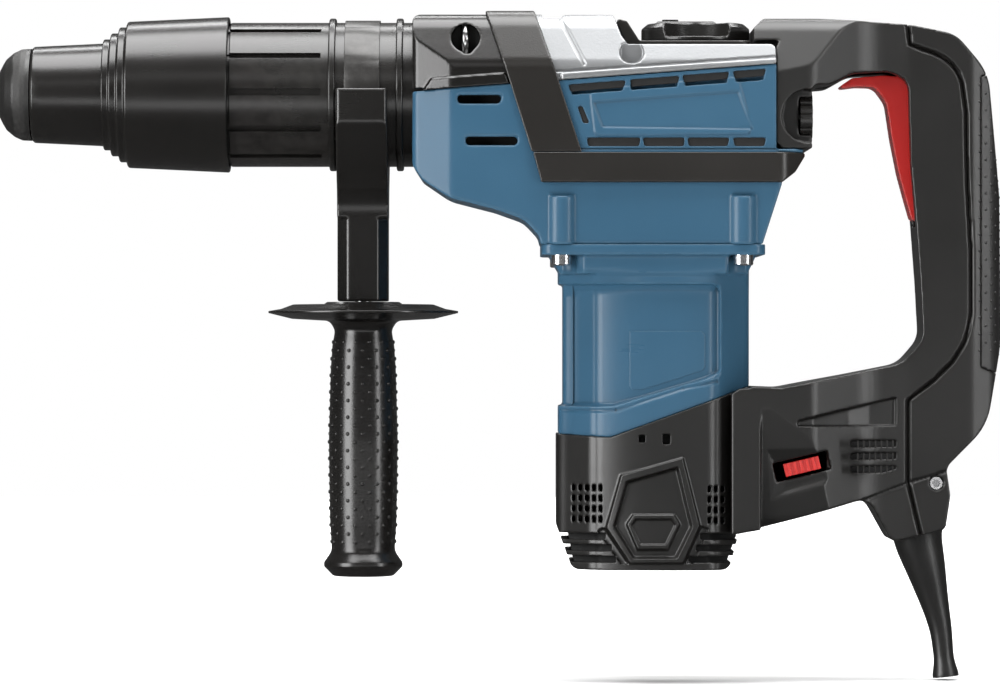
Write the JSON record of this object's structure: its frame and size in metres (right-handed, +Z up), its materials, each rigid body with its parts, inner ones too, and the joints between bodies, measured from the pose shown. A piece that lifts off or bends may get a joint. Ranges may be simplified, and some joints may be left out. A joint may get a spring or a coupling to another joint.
{
  "type": "rotary hammer",
  "caption": "Corded rotary hammer with a keyless locking chuck, upright motor, D-shaped rear handle with a long trigger, mode knob and swivelling side handle.",
  "frame": {"origin": "on the spindle axis, at the front end of the tool bore, which is the front face of the dust cap", "axes": "+X along the spindle from the nose to the rear handle, +Z up from the motor to the hood, +Y to the machine's right seen from behind"},
  "size_m": [0.4845, 0.096, 0.322],
  "materials": {
    "black_plastic": "fine-grained moulded",
    "graphite_plastic": "fine-grained moulded",
    "blue_plastic": "satin moulded",
    "silver_casting": "smooth satin",
    "red_plastic": "satin",
    "soft_rubber": "matte, dotted",
    "dark_steel": "phosphated",
    "bright_steel": "machined",
    "hard_steel": "ground",
    "spring_steel": "drawn",
    "laminations": "stacked sheet",
    "copper": "enamelled",
    "brass": "stamped",
    "carbon": "pressed",
    "nylon": "moulded"
  },
  "bodies": {
    "housing": {"neck_sleeve": "black_plastic", "neck_tube": "black_plastic", "front_hood": "black_plastic", "gearbox_casting": "silver_casting", "side_panel_left": "blue_plastic", "side_panel_right": "blue_plastic", "gear_case": "blue_plastic", "saddle_band": "graphite_plastic", "bumper_belt": "graphite_plastic", "gear_plate": "silver_casting", "shaft_bearings": "bright_steel", "spindle_bearings": "bright_steel", "motor_housing": "blue_plastic", "motor_end_cap": "black_plastic", "housing_screws": "bright_steel", "stator_core": "laminations", "field_coils": "copper", "brush_holders": "brass", "carbon_brushes": "carbon", "selector_cover": "graphite_plastic", "handle_front_shell": "graphite_plastic", "handle_rear_shell": "black_plastic", "soft_grip": "soft_rubber", "speed_controller": "black_plastic", "switch_module": "nylon", "cable_boot": "soft_rubber"},
    "chuck": {"spindle": "hard_steel", "dust_cap": "soft_rubber", "nose_sleeve": "black_plastic", "lock_spring": "spring_steel", "bolt_retainer": "hard_steel", "ring_gear": "hard_steel", "clutch_ring": "hard_steel", "clutch_spring": "spring_steel"},
    "sleeve": {"locking_sleeve": "black_plastic", "lock_ring": "hard_steel"},
    "upper_pawl": {"pawl_upper": "hard_steel"},
    "lower_pawl": {"pawl_lower": "hard_steel"},
    "bolt": {"impact_bolt": "hard_steel"},
    "ram": {"striker": "hard_steel"},
    "piston_group": {"piston": "bright_steel", "wrist_pin": "bright_steel"},
    "rod": {"connecting_rod": "silver_casting"},
    "crank": {"crank_gear": "hard_steel"},
    "lay": {"lay_shaft": "hard_steel"},
    "armature": {"armature_shaft": "hard_steel", "armature_core": "laminations", "armature_windings": "copper", "commutator": "copper", "cooling_fan": "nylon"},
    "trigger_lever": {"trigger": "red_plastic"},
    "lock_button": {"lock_slide": "red_plastic"},
    "speed_dial": {"speed_wheel": "black_plastic"},
    "mode_selector": {"mode_knob": "black_plastic"},
    "release_button": {"mode_button": "red_plastic"},
    "side_clamp": {"handle_strap": "dark_steel", "handle_cradle": "black_plastic", "clamp_bolt": "bright_steel"},
    "side_handle": {"side_grip": "black_plastic", "grip_nut": "bright_steel"}
  },
  "joints": [
    {"name": "crank_spin", "type": "hinge", "parent": "housing", "child": "crank", "pos_m": [0.2861, 0, -0.03], "axis": [0, 0, 1], "continuous": true},
    {"name": "armature_spin", "type": "hinge", "parent": "housing", "child": "armature", "pos_m": [0.3158, 0, -0.12], "axis": [0, 0, 1], "continuous": true},
    {"name": "lay_shaft_spin", "type": "hinge", "parent": "housing", "child": "lay", "pos_m": [0.2511, 0, -0.035], "axis": [0, 0, 1], "continuous": true},
    {"name": "spindle_spin", "type": "hinge", "parent": "housing", "child": "chuck", "pos_m": [0.1, 0, 0], "axis": [1, 0, 0], "continuous": true},
    {"name": "locking_sleeve_slide", "type": "slide", "parent": "chuck", "child": "sleeve", "axis": [1, 0, 0], "range_m": [0, 0.008], "stiffness_N_per_m": 1200, "springref_m": -0.008, "deforming": ["lock_spring"]},
    {"name": "upper_pawl_lift", "type": "slide", "parent": "chuck", "child": "upper_pawl", "axis": [0, 0, 1], "range_m": [0, 0.0022]},
    {"name": "lower_pawl_lift", "type": "slide", "parent": "chuck", "child": "lower_pawl", "axis": [0, 0, -1], "range_m": [0, 0.0022]},
    {"name": "impact_bolt_slide", "type": "slide", "parent": "chuck", "child": "bolt", "axis": [1, 0, 0], "range_m": [-0.0035, 0.0035]},
    {"name": "piston_slide", "type": "slide", "parent": "housing", "child": "piston_group", "axis": [1, 0, 0], "range_m": [0, 0.024]},
    {"name": "striker_slide", "type": "slide", "parent": "chuck", "child": "ram", "axis": [1, 0, 0], "range_m": [0, 0.024]},
    {"name": "rod_swing", "type": "hinge", "parent": "piston_group", "child": "rod", "pos_m": [0.2191, 0, 0], "axis": [0, 0, 1], "range_deg": [-12.6, 12.6]},
    {"name": "trigger_squeeze", "type": "hinge", "parent": "housing", "child": "trigger_lever", "pos_m": [0.446, 0, -0.057], "axis": [0, 1, 0], "range_deg": [0, 6], "stiffness_Nm_per_rad": 6, "springref_deg": -6.88},
    {"name": "lock_button_slide", "type": "slide", "parent": "housing", "child": "lock_button", "axis": [0.9724, 0, 0.2334], "range_m": [0, 0.004]},
    {"name": "speed_dial_turn", "type": "hinge", "parent": "housing", "child": "speed_dial", "pos_m": [0.389, -0.024, -0.0118], "axis": [1, 0, 0], "range_deg": [-150, 150]},
    {"name": "mode_selector_turn", "type": "hinge", "parent": "housing", "child": "mode_selector", "pos_m": [0.3372, 0, 0.03], "axis": [0, 0, 1], "range_deg": [-45, 135]},
    {"name": "release_button_press", "type": "slide", "parent": "mode_selector", "child": "release_button", "axis": [0, 0, -1], "range_m": [0, 0.0018], "stiffness_N_per_m": 400, "springref_m": -0.003},
    {"name": "side_clamp_swivel", "type": "hinge", "parent": "housing", "child": "side_clamp", "pos_m": [0.1762, 0, 0], "axis": [1, 0, 0], "range_deg": [-180, 180]},
    {"name": "side_handle_turn", "type": "hinge", "parent": "side_clamp", "child": "side_handle", "pos_m": [0.1762, 0, -0.16], "axis": [0, 0, 1], "range_deg": [-360, 0]}
  ],
  "couplings": [
    {"joint": "armature_spin", "follows": "crank_spin", "ratio": -5.6},
    {"joint": "lay_shaft_spin", "follows": "crank_spin", "ratio": -0.25},
    {"joint": "spindle_spin", "follows": "crank_spin", "ratio": 0.11719},
    {"joint": "striker_slide", "follows": "piston_slide", "ratio": 1},
    {"joint": "upper_pawl_lift", "follows": "locking_sleeve_slide", "ratio": 0.275},
    {"joint": "lower_pawl_lift", "follows": "locking_sleeve_slide", "ratio": 0.275}
  ]
}
